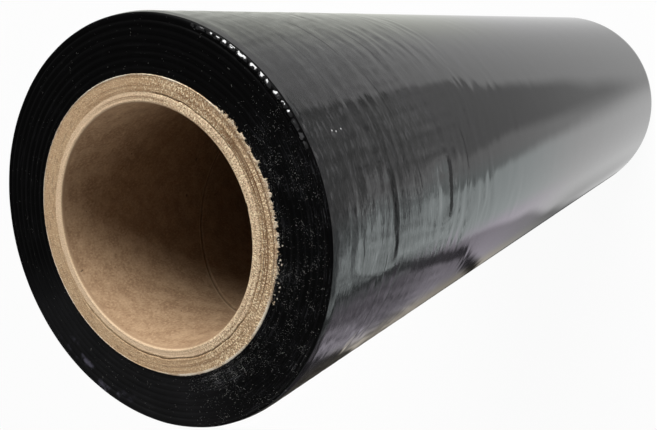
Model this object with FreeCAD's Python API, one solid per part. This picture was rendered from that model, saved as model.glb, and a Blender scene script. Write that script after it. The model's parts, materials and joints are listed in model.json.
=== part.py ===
import FreeCAD, Part
import math
import os

# A roll of black stretch wrap on a spiral-wound cardboard core, standing on one end.
# The roll's axis is Z, and the origin is the centre of the end that it stands on.
# All sizes are in millimetres.

# The core, a tube wound from glued strips of brown paperboard
bore_diameter = 76.0      # takes a wrap dispenser's mandrel
core_wall = 8.5
core_length = 450.0
mouth_chamfer = 0.9       # bore edge, burnished by handling
rim_chamfer = 0.25        # outer edge, as the saw leaves it

# The crack between the inner and outer plies, open round part of each sawn end
inner_plies = 3.3         # from the bore to the crack
crack_width = 0.4
crack_depth = 2.5
crack_sweep = 230.0       # degrees
crack_start = 110.0       # degrees from +X

# The butt joint of the innermost paper strip, a helix that shows inside the bore
strip_width = 120.0
seam_width = 1.0
seam_depth = 0.35
seam_start = 175.0        # degrees from +X, at the foot of the roll

# The film, wound tight on the core
film_build = 18.0         # thickness of all the turns together
core_proud = 0.5          # how far each end of the core stands out of the film
draw_in = 0.45            # the outer turns shrink by this much towards the film's edges
draw_in_run = 3.2         # the strip beside each edge in which they do
edge_bevel = 0.7          # the soft corner left on the outermost turns
tail_step = 0.3           # height of the folded-back free end of the film
tail_angle = 75.0         # degrees from +X

# The turns, seen as one spiral furrow in each end of the film
turn_pitch = 2.2
furrow_width = 1.2
furrow_depth = 0.3
inner_land = 0.8          # plain film between the core and the first furrow

# Values that follow from the sizes above
bore_radius = bore_diameter / 2
core_radius = bore_radius + core_wall
film_radius = core_radius + film_build
film_foot = core_proud
film_top = core_length - core_proud
overshoot = 1.0           # how far a cutter runs past what it cuts

Z_AXIS = FreeCAD.Vector(0, 0, 1)


def at(radius, height):
    """A point of a section drawn in the XZ plane."""
    return FreeCAD.Vector(radius, 0, height)


def face_through(points):
    """The flat face bounded by straight lines through these points."""
    return Part.Face(Part.makePolygon(points + points[:1]))


def turned(solid, degrees):
    """A copy of the solid, turned about the roll's axis."""
    copy = solid.copy()
    copy.rotate(FreeCAD.Vector(0, 0, 0), Z_AXIS, degrees)
    return copy


def ply_crack(end_height, outward):
    """The cutter for the crack in one sawn end; outward is +1 at the top and -1 at the foot."""
    crack_radius = bore_radius + inner_plies
    root = end_height - outward * crack_depth
    mouth = end_height + outward * overshoot
    half_mouth = crack_width / 2 * (crack_depth + overshoot) / crack_depth
    section = face_through([
        at(crack_radius, root),
        at(crack_radius + half_mouth, mouth),
        at(crack_radius - half_mouth, mouth),
    ])
    return turned(section.revolve(FreeCAD.Vector(0, 0, 0), Z_AXIS, crack_sweep), crack_start)


def seam_lead():
    """How far the strip's joint climbs in one turn, from the strip's width and the bore's girth."""
    girth = math.pi * bore_diameter
    climb_angle = math.asin(min(strip_width / girth, 0.95))
    return girth * math.tan(climb_angle)


def bore_seam():
    """The cutter for the helical joint of the innermost strip."""
    lead = seam_lead()
    run_out = seam_width + overshoot
    path = Part.makeHelix(lead, core_length + 2 * run_out, bore_radius)
    path.translate(FreeCAD.Vector(0, 0, -run_out))
    low = -run_out - seam_width / 2
    high = -run_out + seam_width / 2
    inside = bore_radius - overshoot
    outside = bore_radius + seam_depth
    section = Part.makePolygon([
        at(inside, low), at(outside, low), at(outside, high), at(inside, high), at(inside, low),
    ])
    cutter = Part.Wire(path.Edges).makePipeShell([section], True, True)
    return turned(cutter, seam_start)


def make_core():
    """The cardboard tube with chamfered mouths, cracked ends and its seam."""
    section = face_through([
        at(bore_radius + mouth_chamfer, 0),
        at(core_radius - rim_chamfer, 0),
        at(core_radius, rim_chamfer),
        at(core_radius, core_length - rim_chamfer),
        at(core_radius - rim_chamfer, core_length),
        at(bore_radius + mouth_chamfer, core_length),
        at(bore_radius, core_length - mouth_chamfer),
        at(bore_radius, mouth_chamfer),
    ])
    tube = section.revolve(FreeCAD.Vector(0, 0, 0), Z_AXIS, 360)
    cutters = [bore_seam(), ply_crack(core_length, 1), ply_crack(0, -1)]
    return tube.cut(cutters)


def film_section(radius):
    """Half of the film's section, from the axis out to this radius, drawn in at both edges."""
    shoulder = radius - draw_in
    return face_through([
        at(0, film_foot),
        at(shoulder - edge_bevel, film_foot),
        at(shoulder, film_foot + edge_bevel),
        at(radius, film_foot + draw_in_run),
        at(radius, film_top - draw_in_run),
        at(shoulder, film_top - edge_bevel),
        at(shoulder - edge_bevel, film_top),
        at(0, film_top),
    ])


def half_turn(section, centre_x, first_half):
    """A section swept half way round a centre on the X axis: one half of a turn of a spiral."""
    centre = FreeCAD.Vector(centre_x, 0, 0)
    moved = section.copy()
    if not first_half:
        moved.rotate(FreeCAD.Vector(0, 0, 0), Z_AXIS, 180)
    moved.translate(centre)
    return moved.revolve(centre, Z_AXIS, 180)


def spiral_furrow(end_height, outward):
    """The cutters for the furrow between the turns in one end of the film, half a turn each."""
    widest = film_radius - draw_in - edge_bevel - furrow_width / 2
    radius = core_radius + inner_land + furrow_width / 2
    root = end_height - outward * furrow_depth
    mouth = end_height + outward * overshoot
    half_mouth = furrow_width / 2 * (furrow_depth + overshoot) / furrow_depth
    cutters = []
    first_half = True
    while radius + turn_pitch / 4 <= widest:
        section = face_through([
            at(radius, root), at(radius + half_mouth, mouth), at(radius - half_mouth, mouth),
        ])
        centre_x = -turn_pitch / 4 if first_half else turn_pitch / 4
        cutters.append(half_turn(section, centre_x, first_half))
        radius += turn_pitch / 2
        first_half = not first_half
    return cutters


def make_film():
    """The wound film: the last turn is a spiral that ends in a step, the free end of the film."""
    inner_half = half_turn(film_section(film_radius - tail_step / 4), -tail_step / 4, True)
    outer_half = half_turn(film_section(film_radius + tail_step / 4), tail_step / 4, False)
    roll = inner_half.fuse(outer_half)
    core_hole = Part.makeCylinder(
        core_radius, core_length + 2 * overshoot, FreeCAD.Vector(0, 0, -overshoot)
    )
    cutters = [core_hole]
    cutters += spiral_furrow(film_top, 1)
    cutters += spiral_furrow(film_foot, -1)
    return turned(roll.cut(cutters), tail_angle)


def only_solid(shape):
    """The single solid inside a shape, with the faces that lie on one surface joined."""
    solids = shape.removeSplitter().Solids
    if len(solids) != 1:
        raise ValueError(f"expected one solid, found {len(solids)}")
    return solids[0]


pieces = {
    "core_tube": only_solid(make_core()),
    "film_roll": only_solid(make_film()),
}

os.makedirs("parts", exist_ok=True)
for name, solid in pieces.items():
    solid.exportStep(f"parts/{name}.step")
    box = solid.BoundBox
    print(
        f"{name}: {box.XLength:.2f} x {box.YLength:.2f} x {box.ZLength:.2f} mm, "
        f"{solid.Volume / 1000:.1f} cm3, {len(solid.Faces)} faces, valid {solid.isValid()}"
    )
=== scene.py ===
# %% [markdown]
# # A roll of black stretch wrap
# The object is a long web of black polyethylene film, wound tight on a thick tube of brown paperboard. It
# has two real pieces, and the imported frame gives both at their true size: core_tube and film_roll. The
# roll is modelled standing on one end, and the camera is turned instead, so that the picture shows it
# lying as in the photograph. This lesson dresses the two solids: it lathes a finer skin for each, moves
# the skins with Geometry Nodes where a rule makes the shape, and gives every surface its own finish.

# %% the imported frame
import json
import math

import bpy
from mathutils import Matrix, Vector, noise


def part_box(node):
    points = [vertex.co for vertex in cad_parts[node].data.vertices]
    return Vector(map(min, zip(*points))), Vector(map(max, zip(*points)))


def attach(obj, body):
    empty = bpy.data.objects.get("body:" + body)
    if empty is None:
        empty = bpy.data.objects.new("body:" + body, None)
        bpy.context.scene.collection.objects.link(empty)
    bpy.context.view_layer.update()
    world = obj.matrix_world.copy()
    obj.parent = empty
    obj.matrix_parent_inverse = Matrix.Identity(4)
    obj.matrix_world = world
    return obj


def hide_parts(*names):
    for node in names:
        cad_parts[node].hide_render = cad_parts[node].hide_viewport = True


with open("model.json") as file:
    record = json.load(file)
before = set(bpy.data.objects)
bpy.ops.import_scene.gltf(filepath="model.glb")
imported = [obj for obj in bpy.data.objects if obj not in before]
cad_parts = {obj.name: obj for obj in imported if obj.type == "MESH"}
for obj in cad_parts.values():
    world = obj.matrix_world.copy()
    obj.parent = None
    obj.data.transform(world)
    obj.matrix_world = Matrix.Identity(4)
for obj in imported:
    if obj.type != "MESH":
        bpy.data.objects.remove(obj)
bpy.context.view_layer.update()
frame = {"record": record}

MM = 0.001
TURN = 2 * math.pi

# %% [markdown]
# ## Sizes
# Everything that the solids already say is read from the frame: the bore from its mount, and the other
# radii and heights from the two boxes. The finer sizes below are those of the solids' own furrows, crack
# and seam, in metres, so that the skins keep the form that they replace.

# %% sizes read from the frame
bore_mount = next(mount for mount in frame["record"]["mounts"] if mount["name"] == "bore")
bore_radius = bore_mount["dims"]["r_mm"] * MM
core_low, core_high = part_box("core_tube")
film_low, film_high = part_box("film_roll")
core_radius = (core_high.x - core_low.x) / 2
core_top = core_high.z
film_radius = (film_high.x - film_low.x) / 2
film_foot, film_top = film_low.z, film_high.z
middle = core_top / 2
print(f"bore {bore_radius:.4f}, core {core_radius:.4f}, film {film_radius:.4f}, length {core_top:.3f}")

# %% sizes of the finer features
mouth_chamfer = 0.9 * MM
rim_chamfer = 0.25 * MM
inner_plies = 3.3 * MM
crack_width = 0.4 * MM
crack_depth = 2.5 * MM
crack_start = math.radians(110)
crack_sweep = math.radians(230)
seam_width = 1.0 * MM
seam_depth = 0.35 * MM
seam_start = math.radians(175)
seam_run_out = 2.0 * MM
strip_width = 120 * MM
draw_in = 0.45 * MM
draw_in_run = 3.2 * MM
tail_step = 0.3 * MM
tail_angle = math.radians(75)
turn_pitch = 2.2 * MM
furrow_depth = 0.3 * MM
inner_land = 0.8 * MM
crack_radius = bore_radius + inner_plies
girth = TURN * bore_radius
seam_lead = girth * math.tan(math.asin(strip_width / girth))
print(f"the seam climbs {seam_lead / MM:.0f} mm in a turn")

# %% [markdown]
# ## The camera
# The camera was found by fitting the photograph's three ellipses and two long outlines. It looks down on
# the roll's upper end from close by, which is why the far end shrinks so much, and it is rolled a quarter
# turn.

# %% the camera
picture_width = 657
focal_length_in_pixels = 838.66
camera_spot = Vector((0, -183.65, 634.59)) * MM
camera_forward = Vector((-0.04538, 0.54466, -0.83743)).normalized()
camera_up = Vector((0.95710, -0.21644, -0.19263)).normalized()


def make_camera():
    data = bpy.data.cameras.new("camera")
    data.sensor_width = 36
    data.lens = focal_length_in_pixels / picture_width * data.sensor_width
    data.clip_start = 0.01
    camera = bpy.data.objects.new("camera", data)
    bpy.context.scene.collection.objects.link(camera)
    right = camera_forward.cross(camera_up).normalized()
    axes = Matrix((right, right.cross(camera_forward), -camera_forward)).transposed()
    camera.matrix_world = Matrix.Translation(camera_spot) @ axes.to_4x4()
    bpy.context.scene.camera = camera
    return camera


camera = make_camera()
print(f"lens {camera.data.lens:.2f} mm")

# %% [markdown]
# ## Node maths as plain Python
# A finish or a shape rule is mostly arithmetic. Socket wraps one output of a node, and its operators add
# Math nodes, so that `1 - mask * 0.5` reads as it should. Graph adds every other kind of node: settings
# come first, because they decide which inputs a node has, and then the values or links of its inputs.

# %% a small language for nodes
class Socket:
    """One output of a node, which can be used in Python expressions."""

    def __init__(self, graph, socket):
        self.graph = graph
        self.socket = socket

    def __add__(self, other):
        return self.graph.maths("ADD", self, other)

    __radd__ = __add__

    def __mul__(self, other):
        return self.graph.maths("MULTIPLY", self, other)

    __rmul__ = __mul__

    def __sub__(self, other):
        return self.graph.maths("SUBTRACT", self, other)

    def __rsub__(self, other):
        return self.graph.maths("SUBTRACT", other, self)

    def __truediv__(self, other):
        return self.graph.maths("DIVIDE", self, other)

    def __rtruediv__(self, other):
        return self.graph.maths("DIVIDE", other, self)

    def __pow__(self, other):
        return self.graph.maths("POWER", self, other)

    def __gt__(self, other):
        return self.graph.maths("GREATER_THAN", self, other)

    def root(self):
        return self.graph.maths("SQRT", self)

    def size(self):
        return self.graph.maths("ABSOLUTE", self)

    def cosine(self):
        return self.graph.maths("COSINE", self)

    def fraction(self):
        return self.graph.maths("FRACT", self)

    def ramp(self, start, end):
        """0 below start and 1 above end, with a smooth step between. It falls where end is the lower one."""
        settings = {"interpolation_type": "SMOOTHSTEP"}
        low, high = min(start, end), max(start, end)
        first, last = (0, 1) if start < end else (1, 0)
        sockets = {"Value": self, "From Min": low, "From Max": high, "To Min": first, "To Max": last}
        return self.graph.add("ShaderNodeMapRange", settings, sockets)

    def parts(self):
        """The x, y and z of a vector."""
        split = self.graph.add("ShaderNodeSeparateXYZ", sockets={0: self}).socket.node
        return [Socket(self.graph, output) for output in split.outputs]


class Graph:
    """Adds nodes to one tree, a finish's or a shape's."""

    def __init__(self, tree):
        self.tree = tree

    def feed(self, entry, value):
        if isinstance(value, Socket):
            self.tree.links.new(value.socket, entry)
        else:
            entry.default_value = value

    def add(self, kind, settings=None, sockets=None, output=0):
        node = self.tree.nodes.new(kind)
        for name, value in (settings or {}).items():
            setattr(node, name, value)
        for key, value in (sockets or {}).items():
            self.feed(node.inputs[key], value)
        return Socket(self, node.outputs[output]) if node.outputs else None

    def maths(self, operation, *values):
        return self.add("ShaderNodeMath", {"operation": operation}, dict(enumerate(values)))

    def vector(self, x, y, z):
        return self.add("ShaderNodeCombineXYZ", sockets={0: x, 1: y, 2: z})

    def noise(self, place, scale=1.0, detail=2.0, roughness=0.5, seed=0.0):
        """Noise from 0 to 1. The seed is the fourth coordinate."""
        settings = {"noise_dimensions": "4D"}
        sockets = {"Vector": place, "W": seed, "Scale": scale, "Detail": detail, "Roughness": roughness}
        return self.add("ShaderNodeTexNoise", settings, sockets)

    def stretched(self, place, around, along):
        """A place measured in cells, around cells to the metre across the roll and along cells down it."""
        settings = {"operation": "MULTIPLY"}
        return self.add("ShaderNodeVectorMath", settings, {0: place, 1: (around, around, along)})

    def colour(self, mask, first, second):
        """The first colour where the mask is 0, and the second where it is 1."""
        settings = {"data_type": "RGBA", "clamp_factor": True}
        sockets = {0: mask, 6: first, 7: second}
        return self.add("ShaderNodeMix", settings, sockets, output=2)


def cells_of(millimetres):
    """How many noise cells of this size there are to the metre."""
    return 1 / (millimetres * MM)


def rgb(red, green, blue):
    """A colour written as the eye sees it, from 0 to 255, turned into the renderer's linear values."""
    linear = [((c / 255 + 0.055) / 1.055) ** 2.4 if c > 10 else c / 255 / 12.92 for c in (red, green, blue)]
    return (*linear, 1.0)


class Place:
    """Where a point is on the roll: its distance from the axis, its azimuth, and its height."""

    def __init__(self, graph, position):
        self.graph = graph
        self.position = position
        self.x, self.y, self.z = position.parts()
        self.radius = (self.x * self.x + self.y * self.y).root()
        self.angle = graph.maths("ARCTAN2", self.y, self.x)
        self.across = self.x / self.radius
        self.along = self.y / self.radius

    def ring_noise(self, around, outward, detail=2.0, roughness=0.5, seed=0.0):
        """Noise on an end, with so many cells to a radian and so many to a metre of radius."""
        place = self.graph.vector(self.across * around, self.along * around, self.radius * outward)
        return self.graph.noise(place, 1.0, detail, roughness, seed)

    def past(self, start):
        """How far round from the azimuth start the point is, from 0 to a full turn."""
        return ((self.angle - start) / TURN).fraction() * TURN

    def sector(self, start, sweep, soft):
        """1 between two azimuths, falling softly to 0 at both."""
        past = self.past(start)
        return past.ramp(0, soft) * past.ramp(sweep, sweep - soft)

    def arc(self, start, sweep, soft):
        """A sector whose start and sweep are given in degrees."""
        return self.sector(math.radians(start), math.radians(sweep), soft)


print("node helpers ready")

# %% [markdown]
# ## Lathed skins
# Both pieces are turned shapes, so each skin is a loop of rings round the axis. A ring says how finely it
# is divided, because the rim needs a point every half millimetre and the long side doesn't. The columns
# needn't be even either: a few crowd together at the film's free end and at the seam in the bore, where
# the surface steps.

# %% rings and skins
class Ring:
    """One ring of a skin. share says how much each rule of the piece's recipe moves it."""

    def __init__(self, radius, height, fineness, twist=0.0, **share):
        self.radius = radius
        self.height = height
        self.fineness = fineness
        self.twist = twist
        self.share = share


def ring_angles(columns, fineness):
    """The columns' azimuths with each gap divided evenly."""
    angles = []
    for this, after in zip(columns, columns[1:] + [columns[0] + TURN]):
        angles += [this + (after - this) * step / fineness for step in range(fineness)]
    return angles


def strip_faces(first, first_count, second, second_count):
    """The faces between two rings, whose vertices start at first and second. One may be finer."""
    coarse = min(first_count, second_count)
    first_step, second_step = first_count // coarse, second_count // coarse
    faces = []
    for k in range(coarse):
        one = [first + (k * first_step + i) % first_count for i in range(first_step + 1)]
        two = [second + (k * second_step + i) % second_count for i in range(second_step + 1)]
        faces.append(one[:1] + two + one[:0:-1])
    return faces


def lathe(name, columns, rings, bulge):
    """A closed skin through the rings. bulge(azimuth, ring) is what a column adds to the radius."""
    spots, starts = [], []
    for ring in rings:
        starts.append(len(spots))
        for angle in ring_angles(columns, ring.fineness):
            radius = ring.radius + bulge(angle, ring)
            turned = angle + ring.twist
            spots.append((radius * math.cos(turned), radius * math.sin(turned), ring.height))
    faces = []
    counts = [len(columns) * ring.fineness for ring in rings]
    for k in range(len(rings)):
        after = (k + 1) % len(rings)
        assert max(counts[k], counts[after]) % min(counts[k], counts[after]) == 0, "rings must divide evenly"
        faces += strip_faces(starts[k], counts[k], starts[after], counts[after])
    mesh = bpy.data.meshes.new(name)
    mesh.from_pydata(spots, [], faces)
    mesh.shade_smooth()
    for rule in sorted({key for ring in rings for key in ring.share}):
        values = [ring.share.get(rule, 0.0) for ring, count in zip(rings, counts) for _ in range(count)]
        mesh.attributes.new(rule, "FLOAT", "POINT").data.foreach_set("value", values)
    piece = bpy.data.objects.new(name, mesh)
    bpy.context.scene.collection.objects.link(piece)
    print(f"{name}: {len(spots)} points in {len(rings)} rings")
    return piece


def spread(start, end, count):
    """Evenly spaced values from start to end, both included."""
    return [start + (end - start) * k / (count - 1) for k in range(count)]


def triangles(piece):
    return sum(len(face.vertices) - 2 for face in piece.data.polygons)


# %% [markdown]
# ## Recipes
# A recipe is a Geometry Nodes tree with named inputs. Its inputs are set by their identifiers before
# Blender looks at the piece, the result is turned into a plain mesh, and the modifier goes.

# %% recipes in Geometry Nodes
class Recipe(Graph):
    """A geometry tree that starts with one piece and has named inputs."""

    def __init__(self, name, inputs):
        super().__init__(bpy.data.node_groups.new(name, "GeometryNodeTree"))
        face = self.tree.interface
        face.new_socket("Geometry", in_out="INPUT", socket_type="NodeSocketGeometry")
        face.new_socket("Geometry", in_out="OUTPUT", socket_type="NodeSocketGeometry")
        self.values = {}
        for key, value in inputs.items():
            item = face.new_socket(key, in_out="INPUT", socket_type="NodeSocketFloat")
            self.values[item.identifier] = value
        entry = self.tree.nodes.new("NodeGroupInput")
        self.start = Socket(self, entry.outputs[0])
        self.given = {key: Socket(self, entry.outputs[key]) for key in inputs}

    def share(self, rule):
        """A ring's share in one rule, as the lathe wrote it."""
        return self.add("GeometryNodeInputNamedAttribute", {"data_type": "FLOAT"}, {"Name": rule})

    def moved(self, shape, outward, upward, place):
        """The shape with its points moved away from the axis and up."""
        offset = self.vector(place.across * outward, place.along * outward, upward)
        return self.add("GeometryNodeSetPosition", sockets={"Geometry": shape, "Offset": offset})

    def finished(self, shape, material, where=None):
        sockets = {"Geometry": shape, "Material": material}
        if where is not None:
            sockets["Selection"] = where
        return self.add("GeometryNodeSetMaterial", sockets=sockets)

    def close(self, shape):
        """Ends the tree."""
        real = self.add("GeometryNodeRealizeInstances", sockets={"Geometry": shape})
        end = self.tree.nodes.new("NodeGroupOutput")
        self.tree.links.new(real.socket, end.inputs[0])

    def apply(self, piece):
        """Runs the recipe on the piece and leaves a plain mesh."""
        modifier = piece.modifiers.new(self.tree.name, "NODES")
        modifier.node_group = self.tree
        for identifier, value in self.values.items():
            modifier[identifier] = value
        graph = bpy.context.evaluated_depsgraph_get()
        mesh = bpy.data.meshes.new_from_object(piece.evaluated_get(graph))
        piece.modifiers.remove(modifier)
        piece.data = mesh
        mesh.name = piece.name
        for index in reversed(range(len(mesh.materials))):
            if mesh.materials[index] is None:
                mesh.materials.pop(index=index)
        print(f"{piece.name}: {triangles(piece)} triangles, finishes {[m.name for m in mesh.materials]}")
        return piece


print("recipes ready")

# %% [markdown]
# ## Finishes
# Every finish reads Object coordinates, which for these pieces are metres in the roll's own frame, so
# masks can be written as real distances. A finish has a colour, a roughness and a height for its bump.
# Whatever is the same all over, such as the gloss coat, is set on the shader itself.

# %% the finish helper
class Finish(Graph):
    """A material under construction."""

    def __init__(self, name):
        self.material = bpy.data.materials.new(name)
        self.material.use_nodes = True
        super().__init__(self.material.node_tree)
        self.tree.nodes.clear()
        self.where = self.add("ShaderNodeTexCoord", output=3)
        self.place = Place(self, self.where)

    def drawn_out(self, around, along, detail, seed, roughness=0.5):
        """Noise whose cells are so many millimetres long round the roll and so many along it."""
        cells = self.stretched(self.where, cells_of(around), cells_of(along))
        return self.noise(cells, detail=detail, roughness=roughness, seed=seed)

    def surface(self, colour, roughness, relief, constants):
        """Joins the shader up. The relief is a height in millimetres."""
        bump = self.add("ShaderNodeBump", sockets={"Strength": 1.0, "Distance": MM, "Height": relief})
        sockets = {"Base Color": colour, "Roughness": roughness, "Normal": bump, **constants}
        shader = self.add("ShaderNodeBsdfPrincipled", sockets=sockets)
        self.add("ShaderNodeOutputMaterial", sockets={"Surface": shader})
        return self.material


# %% [markdown]
# ### The film's side
# Black polyethylene is glossy, and what shows on it is nearly all reflection. It isn't smooth: the web is
# stretched unevenly, so it lies in fine cords that run round the roll. The broad ones are in the mesh. The
# finer ones are bump, noise that is drawn out round the roll, and they also carry the small changes in
# gloss. Near the photographed end the film is crumpled and creased as well. A crease is a groove with one
# steep wall and one long gentle one, and it is a little duller at the bottom.

# %% finish of the film's side
# Each crease is a height, an azimuth where it starts, how far it runs, how much it climbs on the way, a width
# and a depth, in millimetres and degrees.
creases = [
    (412.5, -121, 31, 1.0, 3.6, 0.9), (414, -146, 29, -9.0, 0.6, 0.10), (371, -116, 23, -1.5, 3.2, 0.7),
    (441, -110, 8, 0.5, 1.3, 0.16), (398, -84, 22, 2.0, 0.8, 0.08), (425, -72, 28, -2.0, 0.9, 0.10),
    (382, -64, 22, 1.5, 1.0, 0.10), (433, -118, 14, -1.0, 0.8, 0.10), (352, -104, 20, 1.0, 1.2, 0.10),
    (436, -98, 12, 1.0, 0.7, 0.10), (404, -60, 25, 1.0, 0.9, 0.12), (421, -152, 40, -4.0, 0.8, 0.10),
    (392, -104, 12, 1.0, 0.9, 0.12),
]
# Three bright specks of grit lie on the side.
grit = [(-79.7, 431.0), (-79.7, 436.0), (-80.1, 434.0)]
grit_size = 0.3


def make_film_side():
    finish = Finish("black_film_side")
    where = finish.where
    place = finish.place
    cords = finish.drawn_out(10, 2.2, detail=2, seed=1.0)
    comb = finish.drawn_out(3.5, 0.6, detail=1, seed=27.0)
    crumple = finish.drawn_out(4, 1.1, detail=3, roughness=0.6, seed=25.0)
    crumpled = place.arc(-150, 84, 0.2) * place.z.ramp(355 * MM, 395 * MM)
    slack = finish.noise(where, cells_of(18), detail=1, seed=26.0).ramp(0.35, 0.65)
    hairs = finish.drawn_out(16, 0.35, detail=2, seed=2.0)
    haze = finish.drawn_out(30, 6, detail=3, seed=3.0)
    handled = place.z.ramp(film_top - 170 * MM, film_top - 30 * MM) * 0.8 + 0.2
    handled = handled * (1 - place.arc(-185, 68, 0.25) * 0.55)
    colour = finish.colour(haze.ramp(0.45, 0.75), rgb(12, 12, 13), rgb(22, 22, 24))
    colour = finish.colour(crumple.ramp(0.50, 0.68) * crumpled * 0.8, colour, rgb(66, 66, 67))
    roughness = 0.02 + (haze.ramp(0.35, 0.8) * 0.06 + hairs.ramp(0.55, 0.8) * 0.03) * (1 - crumpled * 0.7)
    roughness = roughness + place.z.ramp(film_top - 0.3 * MM, film_top - 0.15 * MM) * 0.16
    relief = cords * 0.08 * (slack * 0.75 + 0.25) + comb * (crumpled * 0.02 + 0.012) + hairs * 0.004
    relief = (relief + crumple * crumpled * slack * 0.06) * handled
    drift = (finish.noise(where, cells_of(5), detail=2, seed=24.0) - 0.5) * (2.4 * MM)
    for height, start, run, climb, width, depth in creases:
        past = place.past(math.radians(start))
        line = height * MM + past * (climb * MM / math.radians(run))
        off = place.z + drift - line
        along_it = place.arc(start, run, 0.12) * depth
        relief = relief - off.ramp(-width * MM, 0) * off.ramp(width * 7 * MM, 0) * along_it
        floor_of_it = off.ramp(-width * MM, -width * 0.5 * MM) * off.ramp(width * 0.5 * MM, 0)
        roughness = roughness + floor_of_it * along_it * 0.2
    for azimuth, height in grit:
        aside = (place.angle - math.radians(azimuth)) * (film_radius / MM)
        off = (place.z / MM - height).size() + aside.size()
        colour = finish.colour(off.ramp(grit_size * 1.4, grit_size * 0.7), colour, rgb(225, 225, 225))
    return finish.surface(colour, roughness, relief, {"Specular IOR Level": 1.0, "IOR": 1.5})


film_side = make_film_side()

# %% [markdown]
# ### The film's ends
# An end is the edges of many hundred turns seen edge on. It swallows light like velvet, so it is much
# blacker than the side. Fine rings show where the slitting knife and the winding left some turns a little
# proud, and scuffs follow the rings on the side where the roll was dragged. A few faint bluish glints near
# the rim are painted reflections in the colour.

# %% finish of the film's ends
scuffed_from = math.radians(-178)
scuffed_sweep = math.radians(120)


def make_film_end():
    finish = Finish("black_film_end")
    place = finish.place
    rings = place.ring_noise(1.5, cells_of(0.45), detail=3, seed=4.0)
    scratches = place.ring_noise(9.0, cells_of(0.28), detail=3, seed=5.0)
    patches = finish.noise(finish.where, cells_of(9), detail=2, seed=6.0)
    scuffed = place.sector(scuffed_from, scuffed_sweep, 0.6) * 0.9 + 0.1
    rubbed = place.arc(-183, 28, 0.15) * place.radius.ramp(54 * MM, 52 * MM)
    marks = scratches.ramp(0.54, 0.68) * (patches.ramp(0.42, 0.7) * scuffed + rubbed * 1.6)
    colour = finish.colour(rings.ramp(0.35, 0.75) * 0.5, rgb(2, 2, 2), rgb(9, 9, 10))
    speckle = finish.noise(finish.where, cells_of(0.34), detail=1, seed=29.0)
    speckled = speckle.ramp(0.62, 0.74) * scuffed * patches.ramp(0.35, 0.6)
    colour = finish.colour(speckled, colour, rgb(58, 58, 60))
    hazy = place.arc(85, 115, 0.5)
    colour = finish.colour(hazy * (patches * 0.5 + 0.3), colour, rgb(30, 30, 31))
    colour = finish.colour(marks, colour, rgb(62, 62, 65))
    # Painted reflection: a few faint bluish glints near the rim, put in the colour rather than mirrored.
    painted_glint_area = place.arc(112, 42, 0.25) * place.radius.ramp(53 * MM, 56 * MM)
    painted_glint_noise = finish.noise(finish.where, cells_of(4.5), detail=3, seed=28.0)
    colour = finish.colour(painted_glint_noise.ramp(0.56, 0.74) * painted_glint_area * 0.8, colour, rgb(84, 82, 94))
    roughness = 0.5 - rings.ramp(0.4, 0.7) * 0.1
    relief = rings * 0.05 + scratches * 0.02
    return finish.surface(colour, roughness, relief, {"Specular IOR Level": 0.06, "IOR": 1.5})


film_end = make_film_end()

# %% [markdown]
# ### The core's sawn ends
# The saw cuts across a dozen or more glued plies. Each ply is a thin ring of slightly different brown,
# with a darker glue line, and the cut is fuzzy. The inner plies are paler, in a broader band on the side
# where nothing is torn. The rounded mouth of the bore is worn smooth, and the outermost ply is off-white
# where the film has pulled it clean.

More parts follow.
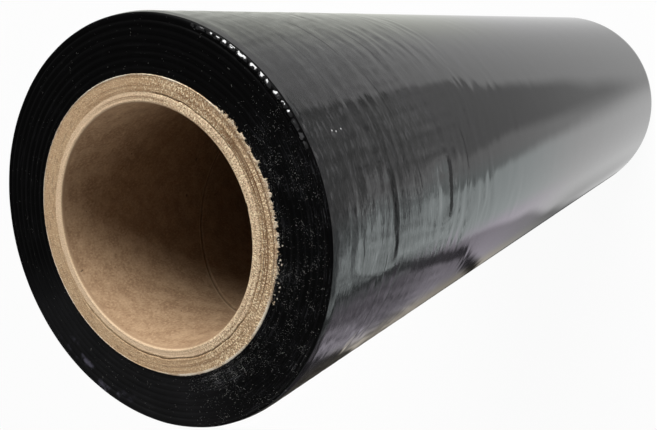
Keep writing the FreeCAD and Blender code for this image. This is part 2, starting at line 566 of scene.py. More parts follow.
# %% finish of the core's sawn ends
def make_sawn_board():
    finish = Finish("kraft_sawn_end")
    place = finish.place
    plies = place.ring_noise(1.2, cells_of(0.7), detail=2, roughness=0.6, seed=7.0)
    glue = place.ring_noise(0.7, cells_of(0.55), detail=2, roughness=0.55, seed=8.0)
    grain = finish.noise(finish.where, cells_of(0.38), detail=1, roughness=0.7, seed=9.0)
    saw = place.ring_noise(105.0, cells_of(0.7), detail=1, roughness=0.7, seed=19.0)
    blotch = finish.noise(finish.where, cells_of(9), detail=2, seed=10.0)
    parted = place.arc(-140, 85, 0.3) * place.radius.ramp(40 * MM, 41 * MM)
    whole = place.arc(-5, 190, 0.5)
    edge = place.radius + whole * (0.7 * MM + (blotch - 0.5) * (1.6 * MM))
    inner = edge.ramp(crack_radius + 0.15 * MM, crack_radius - 0.1 * MM)
    colour = finish.colour(inner, rgb(190, 158, 122), rgb(226, 196, 162))
    lines = 1 - whole * 0.85
    colour = finish.colour(plies.ramp(0.42, 0.6) * 0.4 * lines, colour, rgb(150, 119, 88))
    dashes = place.ring_noise(15.0, cells_of(0.55), detail=2, seed=18.0)
    colour = finish.colour(dashes.ramp(0.50, 0.66) * whole * (1 - inner) * 0.55, colour, rgb(122, 92, 66))
    rough_side = place.arc(-190, 185, 0.6) * 0.75 + 0.25
    colour = finish.colour(grain.ramp(0.48, 0.66) * rough_side * 0.9, colour, rgb(86, 58, 34))
    # Pale flecks of sawn fibre on the rough side, partly painted highlights on the raised fibres: their
    # colour is lighter than the paper's.
    colour = finish.colour(saw.ramp(0.50, 0.64) * rough_side * 0.95, colour, rgb(255, 236, 198))
    colour = finish.colour(glue.ramp(0.53, 0.60) * (parted * 0.4 + 0.5) * lines, colour, rgb(108, 76, 48))
    # Painted shade: a dark line just outside the crack where the plies have parted, standing in for the shade
    # of the open joint.
    beside = place.radius - crack_radius - 1.2 * MM - (blotch - 0.5) * (1.6 * MM)
    colour = finish.colour(beside.size().ramp(0.20 * MM, 0.08 * MM) * parted * 0.8, colour, rgb(82, 54, 32))
    colour = finish.colour(blotch.ramp(0.4, 0.8) * 0.25, colour, rgb(208, 182, 148))
    burnished = place.radius.ramp(bore_radius + 1.2 * MM, bore_radius + 0.6 * MM)
    colour = finish.colour(burnished * 0.2, colour, rgb(216, 190, 156))
    ragged_rim = place.radius + (grain - 0.5) * (0.9 * MM)
    rim = ragged_rim.ramp(core_radius - 0.5 * MM, core_radius - 0.2 * MM)
    clean = 1 - place.arc(-132, 80, 0.15)
    colour = finish.colour(rim * (clean * blotch.ramp(0.35, 0.6) * 0.7 + 0.1), colour, rgb(224, 216, 200))
    # Painted shade: the sunk floor of the crack is darkened in the colour, most where the plies have parted.
    sunk = place.z.ramp(core_top - 0.35 * MM, core_top - 1.0 * MM) * place.radius.ramp(39.6 * MM, 40.0 * MM)
    colour = finish.colour(sunk * (parted * 0.6 + 0.35), colour, rgb(80, 52, 31))
    rounded = place.z.ramp(core_top - 0.12 * MM, core_top - 0.4 * MM)
    worn = rounded * place.radius.ramp(bore_radius + 0.6 * MM, bore_radius)
    colour = finish.colour(worn * 0.9, colour, rgb(150, 122, 94))
    frayed = place.radius.ramp(core_radius + 0.1 * MM, core_radius + 0.6 * MM)
    colour = finish.colour(frayed * 0.5, colour, rgb(226, 214, 194))
    relief = plies * 0.12 + glue * 0.08 + grain * 0.16 + saw * 0.20
    return finish.surface(colour, 0.88, relief, {"Specular IOR Level": 0.25})


sawn_board = make_sawn_board()

# %% [markdown]
# ### The paper inside the bore
# The innermost strip shows its smooth face: long fibres, soft mottling and a few dark specks of bark. Its
# joint winds up the bore as a helix. The mesh has the groove, and the finish adds the dark glue in it and
# the pale torn edge beside it.

# %% finish of the bore
def make_bore_paper():
    finish = Finish("kraft_paper_bore")
    place = finish.place
    where = finish.where
    fibres = finish.drawn_out(0.7, 1.0, detail=4, seed=11.0)
    mottle = finish.noise(where, cells_of(5), detail=3, roughness=0.6, seed=12.0)
    colour = finish.colour(mottle.ramp(0.3, 0.75), rgb(145, 116, 88), rgb(173, 145, 114))
    colour = finish.colour(fibres.ramp(0.45, 0.75) * 0.5, colour, rgb(202, 172, 136))
    colour = finish.colour(fibres.ramp(0.46, 0.28) * 0.35, colour, rgb(104, 76, 52))
    specks = finish.noise(where, cells_of(3.1), detail=1, seed=13.0)
    colour = finish.colour(specks.ramp(0.77, 0.80) * 0.7, colour, rgb(62, 44, 30))
    climb = (place.z + seam_run_out) / seam_lead - (place.angle - seam_start) / TURN
    aside = ((climb + 0.5).fraction() - 0.5) * seam_lead
    colour = finish.colour(aside.size().ramp(0.8 * MM, 0.4 * MM) * 0.4, colour, rgb(96, 70, 48))
    torn = (aside - 1.0 * MM).size().ramp(0.6 * MM, 0.2 * MM)
    colour = finish.colour(torn * 0.6, colour, rgb(206, 180, 146))
    roughness = 0.72 + fibres * 0.12
    relief = fibres * 0.11 + mottle * 0.05
    return finish.surface(colour, roughness, relief, {"Specular IOR Level": 0.3})


bore_paper = make_bore_paper()


# %% [markdown]
# ## The wound film
# The real roll is one web, so its ends show a spiral, its side is very slightly spiral too, and the web's
# free end is a low step along the roll, here on the side that the photograph doesn't show. The lathe gives
# the section: flat end, soft shoulder, a narrow strip where the outer turns draw in, and the long side.
# The wall round the core is hidden. One more ring half way up closes it, because two rings join only where
# the points of one divide evenly among those of the other.

# %% rings of the film
film_columns_count = 120
step_width = 0.2 * MM
shoulder = film_radius - draw_in
corner = 0.3 * MM
pucker_width = 2.8 * MM


def film_edge(end_height, outward, count, fineness):
    """Rings across the puckered outermost turns, over the corner and down the drawn-in strip."""
    rings = []
    for radius in spread(shoulder - pucker_width, shoulder - corner, count):
        rings.append(Ring(radius, end_height, fineness, turns=outward, pucker=1, sag=1))
    for part in (0.5, 1):
        share = {"turns": outward * 0.4, "step": part, "sag": 1}
        radius = shoulder - corner * (1 - part)
        rings.append(Ring(radius, end_height - outward * corner * part, fineness, **share))
    for part in spread(0, 1, 7)[1:]:
        # The radius grows evenly and then eases into the side.
        radius = shoulder + draw_in * (part - max(0, part - 0.7) ** 2 / 0.6) / 0.85
        depth = corner + (draw_in_run - corner) * part
        share = {"step": 1, "cords": part, "sag": 1 - part}
        rings.append(Ring(radius, end_height - outward * depth, 4, **share))
    return rings


def film_face(end_height, outward, count, fineness):
    """Rings of a flat end from the core outwards."""
    radii = spread(core_radius, shoulder - pucker_width, count)[:-1]
    sags = [max(0, 1 - (film_radius - radius) / (5 * MM)) for radius in radii]
    return [Ring(radius, end_height, fineness, turns=outward, sag=sag) for radius, sag in zip(radii, sags)]


def film_side_rings():
    """Rings down the side, closest together near the end that the photograph shows."""
    rings = []
    height = film_top - draw_in_run - 1.25 * MM
    while height > film_foot + draw_in_run + 1 * MM:
        rings.append(Ring(film_radius, height, 2, step=1, cords=1))
        gap = 1.25 if height > film_top - 125 * MM else 2.5 if height > middle else 4.0
        height -= gap * MM
    return rings


def film_bulge(azimuth, ring):
    """The last turn is a spiral: its radius grows all the way round and drops at the free end."""
    gone_round = (azimuth - tail_angle) / TURN
    return tail_step * (gone_round - 0.5) * ring.share.get("step", 0)


film_columns = [tail_angle + TURN * k / film_columns_count for k in range(film_columns_count)]
film_columns.append(tail_angle + TURN - step_width / film_radius)
film_rings = film_face(film_top, 1, count=32, fineness=3)
film_rings += film_edge(film_top, 1, count=11, fineness=12) + film_side_rings()
film_rings += film_edge(film_foot, -1, count=4, fineness=4)[::-1]
film_rings += film_face(film_foot, -1, count=24, fineness=2)[::-1]
film_rings.append(Ring(core_radius, middle, fineness=6))
wound_film = lathe("wound_film", film_columns, film_rings, film_bulge)

# %% [markdown]
# The recipe winds it. On the ends, a spiral furrow follows the turns. On the side, noise that is drawn out
# round the roll makes cords some sixteen millimetres long and four wide. They are deepest near the
# photographed end, where the web was handled. At the rim the outermost turns pucker, because a stretched
# edge is longer than the edge beside it: those are the small bright dashes in the photograph.

# %% recipe of the film
def film_recipe():
    recipe = Recipe("wind_the_film", {
        "Turn pitch": turn_pitch, "Furrow depth": furrow_depth, "Unevenness": 0.10 * MM,
        "Cord length": 16 * MM, "Cord width": 4.4 * MM, "Cord height": 0.30 * MM,
        "Pucker pitch": 3.4 * MM, "Pucker height": 0.55 * MM, "Edge sag": 0.14 * MM, "Seed": 3.0,
    })
    given = recipe.given
    place = Place(recipe, recipe.add("GeometryNodeInputPosition"))
    seed = given["Seed"]

    turn = (place.radius - core_radius - inner_land) / given["Turn pitch"] - place.past(tail_angle) / TURN
    hollow = (turn * TURN).cosine() * 0.5 + 0.5
    wound = place.radius.ramp(core_radius + 0.4 * MM, core_radius + 1.0 * MM)
    proud = place.ring_noise(1.0, cells_of(0.9), detail=2, seed=seed) - 0.5
    upward = (proud * given["Unevenness"] * 2 - hollow ** 2 * given["Furrow depth"]) * wound

    around, along_roll = 1 / given["Cord length"], 1 / given["Cord width"]
    drift = (recipe.noise(place.position, cells_of(24), detail=1, seed=seed + 60) - 0.5) * (9 * MM)
    cells = recipe.vector(place.x * around, place.y * around, (place.z + drift) * along_roll)
    broad = recipe.noise(cells, 1.0, detail=1, seed=seed + 10) - 0.5
    narrow = recipe.noise(cells, 2.1, detail=1, seed=seed + 20) - 0.5
    slack = recipe.noise(place.position, cells_of(26), detail=1, seed=seed + 30).ramp(0.35, 0.65)
    handled = place.z.ramp(middle, film_top - 40 * MM) * 0.88 + 0.12
    calm = 1 - place.arc(-185, 68, 0.25) * 0.5
    cords = (broad + narrow * 0.3) * given["Cord height"] * 2 * handled * calm * (slack * 0.75 + 0.25)

    count = recipe.maths("ROUND", TURN * shoulder / given["Pucker pitch"])
    jitter = recipe.noise(place.position, cells_of(11), detail=2, seed=seed + 40)
    aside = (place.angle / TURN * count + jitter * 3.0).fraction() - 0.5
    wobble = recipe.noise(place.position, cells_of(3), detail=1, seed=seed + 80) - 0.5
    across = (place.radius - shoulder + 1.1 * MM + wobble * (1.2 * MM)) / (1.0 * MM)
    deep = recipe.noise(place.position, cells_of(1.6), detail=1, seed=seed + 50).ramp(0.25, 0.6)
    tight = place.arc(-84, 49, 0.3)
    dome = (1 - (aside * 2.3) ** 2 - across * across).ramp(0, 0.7)
    puckers = recipe.share("pucker") * dome * deep * tight * given["Pucker height"]
    lumps = place.ring_noise(3.2, 1.0, detail=2, seed=seed + 70).ramp(0.3, 0.7) * given["Edge sag"]

    outward = recipe.share("cords") * cords - recipe.share("sag") * lumps
    shape = recipe.moved(recipe.start, outward, recipe.share("turns") * (upward + puckers), place)
    shape = recipe.finished(shape, film_side)
    shape = recipe.finished(shape, film_end, recipe.share("turns").size() > 0.1)
    glossy = recipe.share("pucker") * tight * (across > 0) * (dome > 0.01) > 0.02
    shape = recipe.finished(shape, film_side, glossy)
    recipe.close(shape)
    return recipe


film_recipe().apply(wound_film)

# %% [markdown]
# ## The core
# The tube is lathed as well. Its columns don't run straight up: they wind with the joint of the innermost
# strip, so that five crowded columns can carry the joint's shallow groove from one end of the bore to the
# other. Where the plies have parted, three close rings make the crack.

# %% rings of the core
column_gap = math.radians(3)
seam_half_width = seam_width / 2 / math.tan(math.asin(strip_width / girth))
seam_lip = (seam_half_width + 0.06 * MM) / bore_radius
seam_bottom = (seam_half_width - 0.12 * MM) / bore_radius


def core_twist(height):
    """The azimuth of the strip's joint at this height."""
    return seam_start + TURN * (height + seam_run_out) / seam_lead


def core_mouth(end_height, outward):
    """The rounded edge of the bore."""
    rings = []
    for part in spread(0, 1, 5):
        radius = bore_radius + mouth_chamfer * (1 - math.cos(part * math.pi / 2))
        depth = mouth_chamfer * (1 - math.sin(part * math.pi / 2))
        rings.append(Ring(radius, end_height - outward * depth, 4, core_twist(end_height), seam=1 - part))
    return rings


def core_face(end_height, outward, fineness):
    """The sawn end: a ring every third of a millimetre, and closer at the crack."""
    twist = core_twist(end_height)
    first, last = bore_radius + mouth_chamfer, core_radius - rim_chamfer
    lip = crack_width / 2 + 0.05 * MM
    inner = spread(first, crack_radius - lip, 8)[1:]
    outer = spread(crack_radius + lip, last, 16)
    between = [crack_radius - lip * 0.4, crack_radius, crack_radius + lip * 0.4]
    rings = []
    for radius in inner + between + outer:
        beside = abs(radius - crack_radius)
        share = {"sawn": outward, "wander": max(0, 1 - beside / (1.4 * MM))}
        if beside < lip * 0.99:
            share["crack"] = 1 - 0.15 * beside / lip
        rings.append(Ring(radius, end_height, fineness, twist, **share))
    return rings


def core_rim(end_height, outward):
    """The outer edge, with a lip that can fray out over the film."""
    twist = core_twist(end_height)
    edges = [
        (core_radius - rim_chamfer, 0, 0.6), (core_radius - 0.05 * MM, 0.14, 1),
        (core_radius, 0.38, 0.85), (core_radius, 0.47, 0),
    ]
    return [Ring(radius, end_height - outward * depth * MM, 12, twist, fray=fray * outward)
            for radius, depth, fray in edges]


def core_wall(radius, start, end, step, share):
    """Rings along a cylinder, between two heights."""
    count = round(abs(end - start) / step) + 1
    return [Ring(radius, height, 1, core_twist(height), **share) for height in spread(start, end, count)]


def core_bulge(azimuth, ring):
    """The groove of the joint, between two lips."""
    aside = min(abs(azimuth), abs(azimuth - TURN))
    if aside > (seam_lip + seam_bottom) / 2:
        return 0
    return seam_depth * ring.share.get("seam", 0)


core_columns = [-seam_lip, -seam_bottom, 0, seam_bottom, seam_lip]
core_columns += [k * column_gap for k in range(1, round(TURN / column_gap))]
bore_low, bore_high = mouth_chamfer + 0.5 * MM, core_top - mouth_chamfer - 0.5 * MM
core_rings = core_mouth(core_top, 1) + core_face(core_top, 1, fineness=4) + core_rim(core_top, 1)
core_rings += core_wall(core_radius, core_top - 4 * MM, 4 * MM, step=5 * MM, share={})
core_rings += core_rim(0, -1)[::-1] + core_face(0, -1, fineness=2)[::-1] + core_mouth(0, -1)[::-1]
core_rings += core_wall(bore_radius, bore_low, bore_high, step=2 * MM, share={"wall": 1, "seam": 1})
core_skin = lathe("paperboard_core", core_columns, core_rings, core_bulge)

# %% [markdown]
# The recipe saws it. The crack wanders, because glued plies part where the glue is weakest, and it closes
# again at both its ends. Round a quarter of the rim the saw has torn the outer plies into short teeth that
# lie over the film, and beside them the outermost ply curls out as a narrow lip. Elsewhere the cut is only
# a little uneven.

# %% recipe of the core
torn_from = math.radians(-134)
torn_sweep = math.radians(84)
curled_from = math.radians(-200)
curled_sweep = math.radians(85)


def core_recipe():
    recipe = Recipe("saw_the_core", {
        "Crack depth": crack_depth, "Crack wander": 1.0 * MM, "Unevenness": 0.16 * MM,
        "Tooth pitch": 1.2 * MM, "Tooth length": 1.4 * MM, "Paper relief": 0.12 * MM, "Seed": 7.0,
    })
    given = recipe.given
    seed = given["Seed"]
    place = Place(recipe, recipe.add("GeometryNodeInputPosition"))

    open_crack = place.sector(crack_start, crack_sweep, 0.25)
    wide = place.arc(-140, 90, 0.3)
    parted = place.ring_noise(9.0, 1.0, detail=3, seed=seed).ramp(0.25, 0.5)
    gape = parted * (wide * 0.55 + 0.1) + wide * 0.25 + 0.1
    course = place.ring_noise(6.0, 1.0, detail=4, roughness=0.6, seed=seed + 10)
    wander = (course - 0.5) * given["Crack wander"] * 2
    sunk = recipe.share("crack") * open_crack * gape * given["Crack depth"]

    plies = place.ring_noise(1.5, cells_of(1.1), detail=1, seed=seed + 20)
    cut = recipe.noise(place.position, cells_of(0.9), detail=2, seed=seed + 30)
    uneven = (plies * 0.5 + cut * 0.5) * given["Unevenness"]

    teeth = place.ring_noise(core_radius / given["Tooth pitch"], 1.0, detail=3, roughness=0.6, seed=seed + 40)
    torn = place.sector(torn_from, torn_sweep, 0.2) * 0.92 + 0.08
    curled = place.sector(curled_from, curled_sweep, 0.25) * (teeth * 0.4 + 0.1)
    reach = recipe.maths("MAXIMUM", teeth.ramp(0.40, 0.66) * torn, curled)
    reach = reach * given["Tooth length"] * (recipe.share("fray") > 0)

    soft = recipe.noise(place.position, cells_of(6), detail=2, seed=seed + 50) - 0.5
    outward = recipe.share("wander") * open_crack * wander + recipe.share("fray").size() * reach
    outward = outward + recipe.share("wall") * soft * given["Paper relief"]
    upward = recipe.share("sawn") * (uneven + sunk) * -1
    shape = recipe.moved(recipe.start, outward, upward, place)
    shape = recipe.finished(shape, sawn_board)
    shape = recipe.finished(shape, bore_paper, recipe.share("wall") > 0.6)
    recipe.close(shape)
    return recipe


core_recipe().apply(core_skin)

# %% [markdown]
# ## Torn paper and dust
# Paper fuzz, torn flakes and the dust of sawing lie on and beside the core's rim. They are scattered on
# the faces of the two skins themselves, so each lies on a real surface, and the hidden wall of the film
# gets none. One fibre has a few faces only, since there are many hundreds.

# %% finishes of the loose bits
def make_torn_paper():
    finish = Finish("torn_paper")
    grain = finish.noise(finish.where, cells_of(0.6), detail=2, seed=20.0)
    tint = finish.noise(finish.where, cells_of(3), detail=1, seed=21.0)
    colour = finish.colour(tint.ramp(0.4, 0.6), rgb(196, 170, 138), rgb(226, 216, 198))
    return finish.surface(colour, 0.9, grain * 0.05, {"Specular IOR Level": 0.2})


def make_pale_dust():
    finish = Finish("pale_dust")
    grain = finish.noise(finish.where, cells_of(0.4), detail=1, seed=22.0)
    tint = finish.noise(finish.where, cells_of(2), detail=1, seed=23.0)
    colour = finish.colour(tint.ramp(0.35, 0.65), rgb(84, 84, 86), rgb(190, 188, 184))
    return finish.surface(colour, 0.85, grain * 0.03, {"Specular IOR Level": 0.2})


torn_paper = make_torn_paper()
pale_dust = make_pale_dust()


# %% a recipe that scatters
class Scatter(Recipe):
    """A recipe that lays small bits on the faces of the piece that it starts with."""

    def random(self, low, high, seed):
        sockets = {2: low, 3: high, 8: seed}
        return self.add("FunctionNodeRandomValue", {"data_type": "FLOAT"}, sockets, output=1)

    def fibre(self, length, thickness, bend):
        """A short bent thread that lies along X."""
        ends = {
            "Start": (0, 0, 0), "Middle": self.vector(length / 2, bend, bend / 3),
            "End": self.vector(length, 0, bend / 6),
        }
        line = self.add("GeometryNodeCurveQuadraticBezier", sockets={"Resolution": 4, **ends})
        sockets = {"Resolution": 3, "Radius": thickness / 2}
        section = self.add("GeometryNodeCurvePrimitiveCircle", sockets=sockets)
        sockets = {"Curve": line, "Profile Curve": section, "Fill Caps": True}
        return self.add("GeometryNodeCurveToMesh", sockets=sockets)

    def flake(self, size, thickness, sides):
        """A small flat chip."""
        rim = self.add("GeometryNodeMeshCylinder", sockets={
            "Vertices": sides, "Radius": size / 2, "Depth": thickness})
        return self.add("GeometryNodeTransform", sockets={
            "Geometry": rim, "Translation": (0, 0, thickness / 2), "Scale": (1.0, 0.6, 1.0)})

    def scatter(self, surface, where, density, bit, seed, small, tilt=0.0):
        """Bits on the chosen faces, density to the square metre, from small to full size."""
        spots = self.add("GeometryNodeDistributePointsOnFaces", sockets={
            "Mesh": surface, "Selection": where > 0.5, "Density": density, "Seed": seed})
        lying = Socket(self, spots.socket.node.outputs["Rotation"])
        turn = self.vector(0, self.random(-tilt, 0.0, seed + 1), self.random(0.0, TURN, seed + 2))
        spin = self.add("FunctionNodeEulerToRotation", sockets={0: turn})
        turned = self.add("FunctionNodeRotateRotation", {"rotation_space": "LOCAL"}, {0: lying, 1: spin})
        size = self.random(small, 1.0, seed + 3)
        bits = self.add("GeometryNodeInstanceOnPoints", sockets={
            "Points": spots, "Instance": bit, "Rotation": turned, "Scale": size})
        return self.add("GeometryNodeRealizeInstances", sockets={"Geometry": bits})

    def joined(self, *shapes):
        node = self.tree.nodes.new("GeometryNodeJoinGeometry")
        for shape in shapes:
            self.tree.links.new(shape.socket, node.inputs[0])
        return Socket(self, node.outputs[0])


def copy_of(piece, name):
    """A second object with its own copy of the mesh."""
    twin = bpy.data.objects.new(name, piece.data.copy())
    bpy.context.scene.collection.objects.link(twin)
    return twin


# %% torn paper on the core's rim
def torn_paper_recipe():
    recipe = Scatter("tear_the_rim", {
        "Thread length": 1.1 * MM, "Fuzz length": 0.6 * MM, "Chip size": 0.7 * MM, "Seed": 1.0,
    })
    given = recipe.given
    seed = given["Seed"]
    place = Place(recipe, recipe.add("GeometryNodeInputPosition"))
    torn = place.sector(torn_from, torn_sweep, 0.15)
    rim = (recipe.share("fray") > 0.3) * torn
    sawn = (recipe.share("sawn") > 0.5) * (place.radius > core_radius - 1.4 * MM) * torn
    crack = (recipe.share("crack") > 0.2) * (recipe.share("sawn") > 0.5)
    crack = crack * place.sector(crack_start, crack_sweep, 0.3)
    thread = recipe.fibre(length=given["Thread length"], thickness=0.07 * MM, bend=0.3 * MM)
    fuzz = recipe.fibre(length=given["Fuzz length"], thickness=0.05 * MM, bend=0.2 * MM)
    chip = recipe.flake(size=given["Chip size"], thickness=0.09 * MM, sides=5)
    shape = recipe.joined(
        recipe.scatter(recipe.start, rim, density=6.0e6, bit=thread, seed=seed, small=0.3, tilt=0.25),
        recipe.scatter(recipe.start, rim, density=1.5e6, bit=chip, seed=seed + 4, small=0.3, tilt=0.2),
        recipe.scatter(recipe.start, sawn, density=3.0e6, bit=fuzz, seed=seed + 8, small=0.3, tilt=0.4),
        recipe.scatter(recipe.start, crack, density=2.0e6, bit=fuzz, seed=seed + 12, small=0.3, tilt=0.4),
    )
    recipe.close(recipe.finished(shape, torn_paper))
    return recipe


rim_fibres = torn_paper_recipe().apply(copy_of(core_skin, "rim_fibres"))

# %% [markdown]
# ### Dust on the film's end
# Paper dust from the saw and short lint cling to the film's end, thickest on one side and near the core.
# Pale dots in the colour would do from far off, but they would lie flat in a low view. So the specks and
# the lint are small real shapes, and noise decides where they lie close together.

# %% dust on the film's end
def dust_recipe():
    recipe = Scatter("dust_the_end", {
        "Lint length": 0.7 * MM, "Speck size": 0.18 * MM, "Flake size": 0.8 * MM, "Seed": 21.0,
    })
    given = recipe.given
    seed = given["Seed"]
    place = Place(recipe, recipe.add("GeometryNodeInputPosition"))
    on_top = (recipe.share("turns") > 0.5) * (place.radius > core_radius + 0.05 * MM)
    dusty = place.arc(-192, 135, 0.3)
    beside = place.radius.ramp(film_radius - 1 * MM, core_radius + 3 * MM) * 0.6 + 0.4
    clumps = recipe.noise(place.position, cells_of(5), detail=2, seed=seed + 10).ramp(0.34, 0.74)
    scuff = place.arc(-186, 42, 0.3) * place.radius.ramp(55 * MM, 50 * MM)
    amount = (dusty * 0.6 + 0.05) * clumps * beside + scuff * 0.4
    lint = recipe.fibre(length=given["Lint length"], thickness=0.05 * MM, bend=0.12 * MM)
    speck = recipe.flake(size=given["Speck size"], thickness=0.07 * MM, sides=4)
    flake = recipe.flake(size=given["Flake size"], thickness=0.10 * MM, sides=5)
    near = place.arc(-133, 32, 0.1) * place.radius.ramp(48.9 * MM, 47.6 * MM)
    shape = recipe.joined(
        recipe.scatter(recipe.start, on_top, density=amount * 6.0e6, bit=speck, seed=seed, small=0.35),
        recipe.scatter(
            recipe.start, on_top, density=amount * 9.0e5, bit=lint, seed=seed + 4, small=0.35, tilt=0.2),
    )
    shape = recipe.finished(shape, pale_dust)
    flakes = recipe.scatter(
        recipe.start, on_top, density=near * 6.0e5, bit=flake, seed=seed + 8, small=0.4, tilt=0.15)
    recipe.close(recipe.joined(shape, recipe.finished(flakes, torn_paper)))
    return recipe


end_dust = dust_recipe().apply(copy_of(wound_film, "end_dust"))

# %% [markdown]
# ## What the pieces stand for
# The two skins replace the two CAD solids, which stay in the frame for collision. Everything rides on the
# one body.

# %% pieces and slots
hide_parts("core_tube")
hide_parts("film_roll")
slots = [
    (core_skin, "kraft_board"), (rim_fibres, "kraft_board"),
    (wound_film, "black_film"), (end_dust, "black_film"),
]
for piece, slot in slots:
    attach(piece, "root")
print("pieces ride on the root body")

# %% [markdown]
# ## The floor
# The roll stands on a plain pale floor. The camera sees it as near white and still sees the roll's soft
# shadow, while the gloss of the film sees it as the mid grey that a studio floor is a little way from the
# lamps.

# %% floor
def light_path(graph, kind):
    ray = graph.tree.nodes.new("ShaderNodeLightPath")
    return Socket(graph, ray.outputs[kind])


def mixed(graph, factor, first, second):
    """The first shader where the factor is 0, and the second where it is 1."""
    return graph.add("ShaderNodeMixShader", sockets={0: factor, 1: first, 2: second})


def emptied(owner):
    """The graph of a material or of the world, with nothing in it yet."""
    owner.use_nodes = True
    graph = Graph(owner.node_tree)
    graph.tree.nodes.clear()
    return graph


def flat_mesh(name, spots, faces):
    mesh = bpy.data.meshes.new(name)
    mesh.from_pydata(spots, [], faces)
    piece = bpy.data.objects.new(name, mesh)
    bpy.context.scene.collection.objects.link(piece)
    return piece


floor_reach = 4.0
floor_whiteness = 0.94
floor_in_gloss = 0.8


def make_floor():
    r = floor_reach
    floor = flat_mesh("floor", [(-r, -r, 0), (r, -r, 0), (r, r, 0), (-r, r, 0)], [(0, 1, 2, 3)])
    material = bpy.data.materials.new("pale_floor")
    graph = emptied(material)
    paint = graph.add("ShaderNodeBsdfDiffuse", sockets={"Color": (0.8, 0.8, 0.8, 1)})
    white = graph.add("ShaderNodeEmission", sockets={"Color": (1, 1, 1, 1), "Strength": 1.0})
    grey = graph.add("ShaderNodeEmission", sockets={"Color": (1, 1, 1, 1), "Strength": floor_in_gloss})
    seen = mixed(graph, light_path(graph, "Is Camera Ray") * floor_whiteness, paint, white)
    shader = mixed(graph, light_path(graph, "Is Glossy Ray"), seen, grey)
    graph.add("ShaderNodeOutputMaterial", sockets={"Surface": shader})
    floor.data.materials.append(material)
    return floor


floor = make_floor()
print(f"floor {2 * floor_reach:.0f} m wide, {len(floor.data.polygons)} face")

# %% [markdown]
# ## The reflection card
# A glossy black cylinder shows little but its surroundings. In the photograph these are a pale room with a
# dark gap in it, so a card lies on the floor in front of the roll, seen only by gloss. The law of the
# mirror says which spot of the floor shows at each azimuth and height of the roll, so the card's soft
# edges can be given where they show on the film: tones as heights and azimuths of the roll, in millimetres
# and degrees. The cords tear the reflection into teeth near the photographed end, so noise makes the
# card's edges toothed there, and a fine mottle breaks up its tones.

# %% where a spot of the film looks
card_height = 0.4 * MM


def mirror_spot(azimuth, height):
    """The floor point that the camera sees mirrored in the film at this azimuth and height."""
    side = Vector((math.cos(azimuth), math.sin(azimuth)))
    sight = side * film_radius - camera_spot.xy
    reach = sight.length
    sight.normalize()
    bounced = sight - 2 * sight.dot(side) * side
    run = reach * height / (camera_spot.z - height)
    return side * film_radius + bounced * run


def step_between(value, start, end):
    part = min(max((value - start) / (end - start), 0), 1)
    return part * part * (3 - 2 * part)


def along(height, stops):
    """A value given at a few heights in millimetres, and smooth between them."""
    height = height / MM
    for (low, first), (high, second) in zip(stops, stops[1:]):
        if height <= high:
            return first + (second - first) * step_between(height, low, high)
    return stops[-1][1]


# %% tones of the card
gap_from = [(0, -91), (150, -84), (220, -79), (300, -76), (345, -71), (390, -72), (450, -74)]
half_tone_from = [(0, -94), (300, -94), (350, -97), (390, -96), (420, -100), (450, -104)]
bright_from = [
    (0, -98), (150, -100), (250, -102), (300, -104), (350, -107), (390, -105), (425, -108), (540, -114),
]
bright_to = [
    (0, -164), (110, -153), (160, -148), (210, -141), (270, -131), (340, -126), (387, -123), (410, -120),
    (450, -119),
]
far_line = [
    (250, -175), (288, -161), (300, -152), (314, -146), (326, -141), (345, -131), (384, -126), (402, -122),
    (450, -121),
]
corner_from = [(370, -175), (400, -155), (425, -144), (447, -138), (500, -128)]
edge_softness = [(0, 16), (150, 11), (250, 6), (330, 3), (380, 1.0), (450, 0.8)]
gap_tone = [
    (0, 0.52), (150, 0.38), (300, 0.33), (380, 0.35), (430, 0.27), (500, 0.29), (545, 0.36), (575, 0.08),
]
half_tone = [
    (0, 0.78), (200, 0.58), (300, 0.53), (365, 0.50), (385, 0.52), (403, 0.38), (430, 0.31), (500, 0.28),
    (545, 0.30), (575, 0.08),
]
side_tone = [(0, 0.63), (300, 0.66), (440, 0.50), (545, 0.78), (580, 0.30)]
bright_tone = [(0, 0.92), (300, 0.95), (450, 0.90), (500, 0.80), (545, 0.62), (570, 0.08)]
between_tone = [
    (0, 0.60), (100, 0.36), (160, 0.32), (210, 0.34), (260, 0.46), (330, 0.58), (350, 0.50), (375, 0.34),
]
beyond_tone = [(280, 0.18), (330, 0.30), (370, 0.40), (400, 0.28), (440, 0.26), (545, 0.14)]
patch_from = [(395, -158), (407, -143), (425, -134), (437, -130), (545, -127)]
patch_tone = 0.50
foot_shade = [(0, 0.20), (100, 0.32), (170, 0.40), (240, 0.24), (300, 0.10), (330, 0)]
line_tone = [(250, 0.10), (300, 0.03), (326, 0.04), (370, 0.12), (450, 0.15)]
line_width = [(250, 6), (310, 6), (360, 3.5), (450, 2)]
corner_tone = 0.06
tooth_size = (14, 7.0 * MM)
tooth_depth = 5
mottle_size = (2.2, 5 * MM)


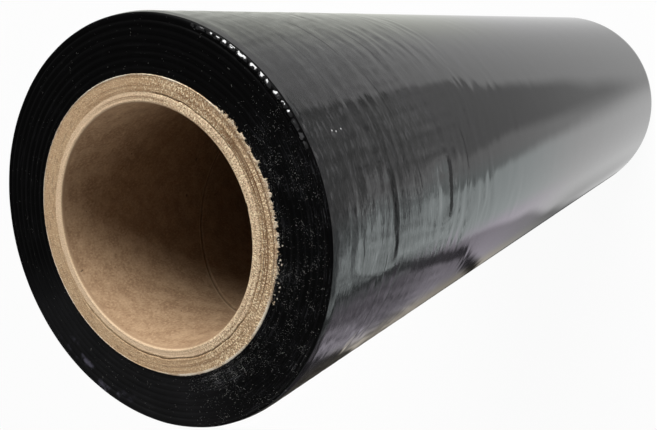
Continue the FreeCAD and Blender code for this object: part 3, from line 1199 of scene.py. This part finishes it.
def card_tone(azimuth, height):
    """How bright the card is where the film mirrors it."""
    degrees = math.degrees(azimuth)
    soft = along(height, edge_softness)
    near = step_between(height, 235 * MM, 300 * MM)
    nearest = step_between(height, 340 * MM, 400 * MM)
    jag = noise.noise(Vector((degrees / tooth_size[0], height / tooth_size[1], 0))) * tooth_depth * nearest
    mottle = noise.noise(Vector((degrees / mottle_size[0], height / mottle_size[1], 5))) * nearest

    def past(stops, softness, toothed=1.0):
        edge = along(height, stops) + jag * toothed
        return step_between(-degrees, -edge - softness / 2, -edge + softness / 2)

    # The room above the gap, brighter towards the roll's upper outline and darker past the roll's end
    tone = along(height, side_tone)
    tone += 0.12 * step_between(degrees, -60, -30)
    tone *= 1 - 0.6 * step_between(degrees, -40, -26) * step_between(height, 480 * MM, 530 * MM)
    # The dark gap, darkest along its edge, and the half tone in it
    tone += (along(height, gap_tone) - tone) * past(gap_from, soft)
    lip = 1 - step_between(abs(-degrees + along(height, gap_from) + jag - 0.6), 0.4, 1.5)
    tone *= 1 - 0.6 * lip * step_between(height, 385 * MM, 410 * MM)
    tone += (along(height, half_tone) - tone) * past(half_tone_from, soft)
    # The bright band, and the darker strip that follows it
    tone += (along(height, bright_tone) - tone) * past(bright_from, soft, 3.0)
    tone += (along(height, between_tone) - tone) * past(bright_to, soft, 1.6)
    # The far line, and what is mirrored beyond it
    off_line = -degrees + along(height, far_line)
    tone += (along(height, beyond_tone) - tone) * near * step_between(off_line, 0, 4)
    darkness = near * (1 - step_between(abs(off_line) / along(height, line_width), 0.3, 1))
    tone += (along(height, line_tone) - tone) * darkness
    # Shade towards the foot, a paler patch, and the dark below the roll and at its corner
    tone *= 1 - along(height, foot_shade) * step_between(-degrees, 128, 143)
    tone += (patch_tone - tone) * past(patch_from, 3) * step_between(height, 395 * MM, 405 * MM)
    tone *= 1 - (0.85 - 0.3 * near) * step_between(-degrees, 151, 156)
    tone += (corner_tone - tone) * past(corner_from, 3)
    return tone * (1 + (0.4 + 0.5 * past(gap_from, soft)) * mottle)


def card_tint(azimuth, height):
    """Greenish above, bluish in the bright band and violet below it, near the photographed end."""
    degrees = math.degrees(azimuth)
    near = step_between(height, 180 * MM, 330 * MM)
    band = step_between(-degrees, 98, 106) * (1 - step_between(-degrees, 120, 128))
    violet = step_between(-degrees, 120, 128) * (1 - step_between(-degrees, 138, 150))
    olive = step_between(degrees, -60, -40)
    brown = step_between(-degrees, 140, 150)
    red = 1 - near * (0.07 * band - 0.03 * violet + 0.01 * olive - 0.10 * brown)
    green = 1 + near * (0.01 * band - 0.05 * violet + 0.01 * olive)
    blue = 1 + near * (0.01 * band + 0.08 * violet - 0.07 * olive - 0.15 * brown)
    return red, green, blue


# %% the card
def make_card():
    azimuths = [math.radians(degrees) for degrees in spread(-20, -160, 281)]
    heights = spread(4 * MM, 344 * MM, 69) + spread(344 * MM, 612 * MM, 135)[1:]
    spots, tones, faces = [], [], []
    for height in heights:
        for azimuth in azimuths:
            spot = mirror_spot(azimuth, height)
            spots.append((spot.x, spot.y, card_height))
            tone = card_tone(azimuth, height)
            tones += [tone * part for part in card_tint(azimuth, height)] + [1.0]
    across = len(azimuths)
    for row in range(len(heights) - 1):
        for k in range(across - 1):
            first = row * across + k
            faces.append((first, first + 1, first + across + 1, first + across))
    card = flat_mesh("reflection_card", spots, faces)
    card.data.attributes.new("tone", "FLOAT_COLOR", "POINT").data.foreach_set("color", tones)
    material = bpy.data.materials.new("card_glow")
    graph = emptied(material)
    tone = graph.add("ShaderNodeAttribute", {"attribute_name": "tone"})
    glow = graph.add("ShaderNodeEmission", sockets={"Color": tone, "Strength": 1.0})
    graph.add("ShaderNodeOutputMaterial", sockets={"Surface": glow})
    card.data.materials.append(material)
    card.visible_camera = False
    card.visible_diffuse = False
    card.visible_shadow = False
    card.visible_transmission = False
    card.visible_volume_scatter = False
    return card


card = make_card()
print(f"reflection card: {len(card.data.polygons)} faces")

# %% [markdown]
# ## Light
# One large soft lamp on the side of the photograph's right and below lights the sawn end and one wall of
# the bore. A weak lamp opposite fills the shade. The world is white to the camera and dim to everything
# else.

# %% lamps and world
def make_lamp(name, spot, target, width, power):
    data = bpy.data.lights.new(name, "AREA")
    data.shape = "DISK"
    data.size = width
    data.energy = power
    lamp = bpy.data.objects.new(name, data)
    bpy.context.scene.collection.objects.link(lamp)
    spot = Vector(spot)
    aim = (spot - Vector(target)).to_track_quat("Z", "Y").to_matrix()
    lamp.matrix_world = Matrix.Translation(spot) @ aim.to_4x4()
    return lamp


end_centre = (0, 0, core_top)
key = make_lamp("key_lamp", (1.26, -0.50, 0.97), end_centre, width=1.1, power=37)
fill = make_lamp("fill_lamp", (-1.32, 0.22, 0.72), end_centre, width=1.3, power=9)
print(f"key lamp {key.data.energy:.0f} W, fill lamp {fill.data.energy:.0f} W")

world_dimness = 0.17
world_in_gloss = 0.18


def make_world():
    world = bpy.data.worlds.new("studio")
    bpy.context.scene.world = world
    graph = emptied(world)
    white = graph.add("ShaderNodeBackground", sockets={"Color": (1, 1, 1, 1), "Strength": 1.0})
    dim = graph.add("ShaderNodeBackground", sockets={"Color": (1, 1, 1, 1), "Strength": world_dimness})
    dark = graph.add("ShaderNodeBackground", sockets={"Color": (1, 1, 1, 1), "Strength": world_in_gloss})
    around = mixed(graph, light_path(graph, "Is Glossy Ray"), dim, dark)
    shader = mixed(graph, light_path(graph, "Is Camera Ray"), around, white)
    graph.add("ShaderNodeOutputWorld", sockets={"Surface": shader})


make_world()
bpy.context.scene.view_settings.view_transform = "Standard"
print("lit")
